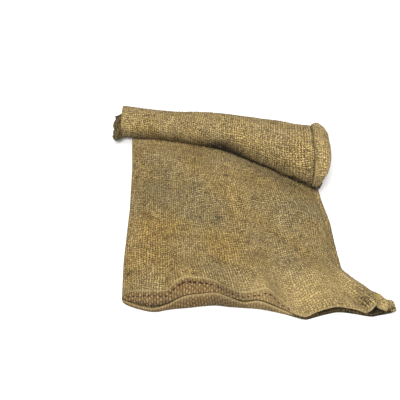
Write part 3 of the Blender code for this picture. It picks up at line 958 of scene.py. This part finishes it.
def blend(tree, mode, share, first, second):
    inputs = {0: share, 6: first, 7: second}
    return put(tree, "Mix", inputs, data_type="RGBA", blend_type=mode).outputs[2]


def noise_at(tree, x, y, z, scale, detail=2, rough=0.5):
    """Noise from 0 to 1 at given coordinates, where z keeps one noise apart from the others."""
    place = put(tree, "CombineXYZ", {"X": x, "Y": y, "Z": z}).outputs[0]
    node = put(tree, "TexNoise",
               {"Vector": place, "Scale": scale, "Detail": detail, "Roughness": rough})
    return node.outputs["Fac"]


def new_material(name, specular=0.5):
    material = bpy.data.materials.new(name)
    material.use_nodes = True
    tree = material.node_tree
    shader = tree.nodes["Principled BSDF"]
    feed(tree, shader, {"Roughness": 0.9, "Specular IOR Level": specular})
    return material, tree, shader


YARN_ACROSS = 0.00345  # spacing of the threads in metres
YARN_ALONG = 0.00335
DRIFT = (14, 5, 6)  # the threads' slow drift: its scale, and how many threads either way
WOBBLE = (150, 0.7, 0.8)  # and their quick wobble
WIDTH = (0.95, 0.4)  # how much a thread's width varies, and the least of it
CRIMP = (0.36, 0.64)  # how far a thread rises and sinks at the crossings, round which height
HEM_SINK = -0.55  # in the hem the threads along it lie this much lower
# How much each of these makes a thread lighter, and where it starts: the thread's own length,
# its crossings, the specks of its fibres, and soft clouds.
OWN_LIGHT = (1.3, -0.2)
CROSSING_LIGHT = (0.42, -0.21)
SPECK_LIGHT = (4.4, -2.2)
SOFT_LIGHT = (0.3, -0.15)
SOFT_TONE = (0.16, -0.08)
HEM_STEADY = 0.5  # the hem has so much less of all that
HEM_SHOWN = 0.3  # and its gaps are filled so far
HEM_TINT = 0.8
# Below these heights a thread goes over to the painted shade of the gaps.
SHOWN = (0.05, 0.75)  # heights between which a thread comes out of the gap
CLOUD_WARM = (1.6, -0.45)
CLOUD_COOL = (-1, 0.55)
HUE = (5, 2.4)  # how sharply threads are parted into greener and pinker ones
# Painted shade seen through the gaps between the threads.
GAP_SHADE_COLOUR = (0.018, 0.011, 0.005, 1)
YARN_DARK = (0.058, 0.037, 0.018, 1)
YARN_LIGHT = (0.55, 0.425, 0.205, 1)
HEM_COLOUR = (0.93, 0.81, 0.82, 1)
# One flat paler colour for wear and for painted highlights.
WEAR_AND_HIGHLIGHT_COLOUR = (0.36, 0.275, 0.13, 1)
WARM_COLOUR = (1, 0.88, 0.62, 1)
COOL_COLOUR = (0.985, 0.9, 0.94, 1)
OLIVE_COLOUR = (0.97, 1, 0.76, 1)
PINK_COLOUR = (1, 0.93, 0.98, 1)
FUZZ = 0.25  # of the fibres in the relief, which is this high in metres
RELIEF = 0.0009


def hessian_material():
    """A plain weave of uneven jute threads, on the cloth's flat coordinates."""
    material, tree, shader = new_material("hessian_weave", specular=0.08)

    def add(first, second, clamp=False):
        return calc(tree, "ADD", first, second, clamp=clamp)

    def times(first, second):
        return calc(tree, "MULTIPLY", first, second)

    def ramp(value, slope, start, clamp=False):
        return calc(tree, "MULTIPLY_ADD", value, slope, start, clamp=clamp)

    def mark(name):
        return put(tree, "Attribute", {}, attribute_name=name).outputs["Fac"]

    def tint(share, colour, by):
        return blend(tree, "MULTIPLY", share, colour, by)

    flat = put(tree, "UVMap", {}, uv_map="cloth").outputs[0]
    u, v, _ = put(tree, "SeparateXYZ", {"Vector": flat}).outputs

    def grain(seed, scale, detail=1, rough=0.5):
        return noise_at(tree, u, v, seed, scale, detail, rough)

    drift_u = times(grain(1.7, DRIFT[0]), DRIFT[1])
    drift_v = times(grain(7.9, DRIFT[0]), DRIFT[2])
    wobble_u = times(grain(3.1, WOBBLE[0]), WOBBLE[1])
    wobble_v = times(grain(5.3, WOBBLE[0]), WOBBLE[2])
    a = add(calc(tree, "DIVIDE", u, YARN_ACROSS), add(drift_u, wobble_u))
    b = add(calc(tree, "DIVIDE", v, YARN_ALONG), add(drift_v, wobble_v))
    number_a, number_b = calc(tree, "FLOOR", a), calc(tree, "FLOOR", b)

    def thread(number, other, place, seed):
        """Height of a thread across its uneven width, and how light it is."""
        slub = noise_at(tree, times(number, 3.7), times(other, 0.16), seed, 1, 2, 0.6)
        width = add(times(slub, WIDTH[0]), WIDTH[1])
        centre = calc(tree, "SUBTRACT", calc(tree, "FRACT", place), 0.5)
        off = calc(tree, "DIVIDE", times(centre, 2), width)
        profile = calc(tree, "SUBTRACT", 1, times(off, off), clamp=True)
        light = noise_at(tree, times(number, 5.3), times(other, 0.22), seed + 4, 1, 3, 0.65)
        return profile, light

    warp, warp_light = thread(number_a, b, a, 0.5)
    weft, weft_light = thread(number_b, a, b, 11.5)

    def wave(place, number, sign):
        centre = calc(tree, "SUBTRACT", place, 0.5)
        phase = times(calc(tree, "SUBTRACT", centre, number), math.pi)
        return ramp(calc(tree, "COSINE", phase), CRIMP[0] * sign, CRIMP[1])

    hem = mark("hem")
    warp_high = times(warp, wave(b, number_a, 1))
    weft_high = times(times(weft, wave(a, number_b, -1)), ramp(hem, HEM_SINK, 1))
    height = calc(tree, "MAXIMUM", warp_high, weft_high)
    warp_shows = calc(tree, "GREATER_THAN", warp_high, weft_high)
    light = add(times(warp_shows, warp_light),
                times(calc(tree, "SUBTRACT", 1, warp_shows), weft_light))

    crossing = put(tree, "CombineXYZ", {"X": number_a, "Y": number_b}).outputs[0]
    crossing = put(tree, "TexWhiteNoise", {"Vector": crossing},
                   noise_dimensions="2D").outputs["Value"]
    speck = grain(2.2, 760, 1, 0.7)
    soft = grain(9.1, 42, 3, 0.6)
    lightness = add(add(ramp(light, *OWN_LIGHT), ramp(crossing, *CROSSING_LIGHT)),
                    add(ramp(speck, *SPECK_LIGHT), ramp(soft, *SOFT_LIGHT)), clamp=True)
    steady = times(calc(tree, "SUBTRACT", 0.5, lightness), times(hem, HEM_STEADY))
    jute = blend(tree, "MIX", add(lightness, steady), YARN_DARK, YARN_LIGHT)
    # Painted shade on the low sides of the threads and in the gaps between them.
    shown = put(tree, "MapRange",
                {"Value": height, "From Min": SHOWN[0], "From Max": SHOWN[1]}).outputs[0]
    shown = calc(tree, "MAXIMUM", shown, times(hem, HEM_SHOWN))
    colour = blend(tree, "MIX", shown, GAP_SHADE_COLOUR, jute)

    cloud = grain(4.4, 22, 2)
    warm = add(ramp(cloud, *CLOUD_WARM), mark("warmth"), clamp=True)
    colour = tint(warm, colour, WARM_COLOUR)
    colour = tint(ramp(cloud, *CLOUD_COOL, clamp=True), colour, COOL_COLOUR)
    hue = grain(12.6, 230)
    colour = tint(ramp(hue, HUE[0], -HUE[1], clamp=True), colour, OLIVE_COLOUR)
    colour = tint(ramp(hue, -HUE[0], HUE[1], clamp=True), colour, PINK_COLOUR)
    colour = tint(times(hem, HEM_TINT), colour, HEM_COLOUR)
    # Wear and painted highlights, mixed in as one flat paler colour.
    colour = blend(tree, "MIX", mark("worn"), colour, WEAR_AND_HIGHLIGHT_COLOUR)
    # The tone mark carries painted shade and painted light as well as the cloth's own tone.
    bright = add(add(1, mark("tone")), ramp(soft, *SOFT_TONE))
    brighter = put(tree, "VectorMath", {"Vector": colour, "Scale": bright},
                   operation="SCALE").outputs[0]

    fuzz = grain(6.6, 2400, 2, 0.7)
    high = add(height, times(fuzz, FUZZ))
    bump = put(tree, "Bump", {"Strength": 0.85, "Distance": RELIEF, "Height": high}).outputs[0]
    rough = ramp(light, -0.12, 0.98, clamp=True)
    feed(tree, shader, {"Base Color": brighter, "Normal": bump, "Roughness": rough,
                        "Sheen Weight": 0.03, "Sheen Roughness": 0.6})
    return material


def thread_material(name, dark, light, pitch):
    """A twisted thread: light and dark plies across a noise of fibres."""
    material, tree, shader = new_material(name, specular=0.08)
    place = put(tree, "TexCoord", {}).outputs["Object"]
    plies = put(tree, "TexWave",
                {"Vector": place, "Scale": 1 / pitch, "Distortion": 2, "Detail": 2},
                wave_type="BANDS", bands_direction="DIAGONAL").outputs["Fac"]
    grain = put(tree, "TexNoise",
                {"Vector": place, "Scale": 900, "Detail": 3}).outputs["Fac"]
    share = calc(tree, "ADD", calc(tree, "MULTIPLY", plies, 0.5),
                 calc(tree, "MULTIPLY", grain, 0.5), clamp=True)
    colour = blend(tree, "MIX", share, dark, light)
    bump = put(tree, "Bump", {"Strength": 0.5, "Distance": 0.0003, "Height": plies}).outputs[0]
    feed(tree, shader, {"Base Color": colour, "Normal": bump})
    return material


def floor_piece():
    """The pale floor, and its material with the faintest of marks."""
    mesh = bpy.data.meshes.new("floor")
    shape = bmesh.new()
    bmesh.ops.create_grid(shape, x_segments=2, y_segments=2, size=6)
    shape.to_mesh(mesh)
    shape.free()
    material, tree, shader = new_material("pale_floor")
    place = put(tree, "TexCoord", {}).outputs["Object"]
    cloud = put(tree, "TexNoise", {"Vector": place, "Scale": 3}).outputs["Fac"]
    colour = blend(tree, "MIX", cloud, (0.93, 0.93, 0.93, 1), (0.95, 0.95, 0.95, 1))
    feed(tree, shader, {"Base Color": colour})
    mesh.materials.append(material)
    return new_object("floor", mesh)


def light(name, place, size, power):
    """A round lamp in metres and watts, turned to the middle of the floor."""
    data = bpy.data.lights.new(name, "AREA")
    data.shape = "DISK"
    data.size = size
    data.energy = power
    made = new_object(name, data)
    made.location = Vector(place)
    made.rotation_euler = (-Vector(place)).to_track_quat("-Z", "Y").to_euler()


def camera():
    data = bpy.data.cameras.new("camera")
    data.sensor_width = SENSOR
    data.lens = CAMERA_LENS
    data.clip_end = 50
    made = new_object("camera", data)
    target = Vector(to_metres(np.zeros(3)))
    back = CAMERA_DISTANCE * MM
    y, z = -back * math.cos(CAMERA_ANGLE), back * math.sin(CAMERA_ANGLE)
    made.location = target + Vector((0, y, z))
    made.rotation_euler = (target - made.location).to_track_quat("-Z", "Y").to_euler()
    bpy.context.scene.camera = made


def studio():
    world = bpy.data.worlds.new("studio")
    world.use_nodes = True
    tree = world.node_tree
    feed(tree, tree.nodes["Background"], {"Color": (1, 1, 1, 1), "Strength": 0.58})
    bpy.context.scene.world = world
    bpy.context.scene.view_settings.view_transform = "Standard"
    light("key", (-0.35, -1.3, 1.8), size=0.9, power=50)
    light("top", (0.4, 0.4, 2.1), size=1.4, power=16)


camera()
rings = cloth_rings()
cloth = cloth_piece(rings)
thick = cloth.modifiers.new("thickness", "SOLIDIFY")
thick.thickness = CLOTH * MM
thick.offset = 0
cloth.data.materials.append(hessian_material())

stitches = hem_stitches()
stitches.data.materials.append(
    thread_material("dark_thread", (0.012, 0.006, 0.004, 1), (0.075, 0.038, 0.026, 1), 0.0012))
chain = seam_chain(rings)
straw = thread_material("straw_thread", (0.16, 0.11, 0.045, 1), (0.5, 0.39, 0.18, 1), 0.0014)
chain.data.materials.append(straw)
fibres = loose_fibres(rings)
fibres.data.materials.append(straw)

for piece in (cloth, stitches, chain, fibres):
    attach(piece, "root")
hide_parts("sack")
floor = floor_piece()
studio()
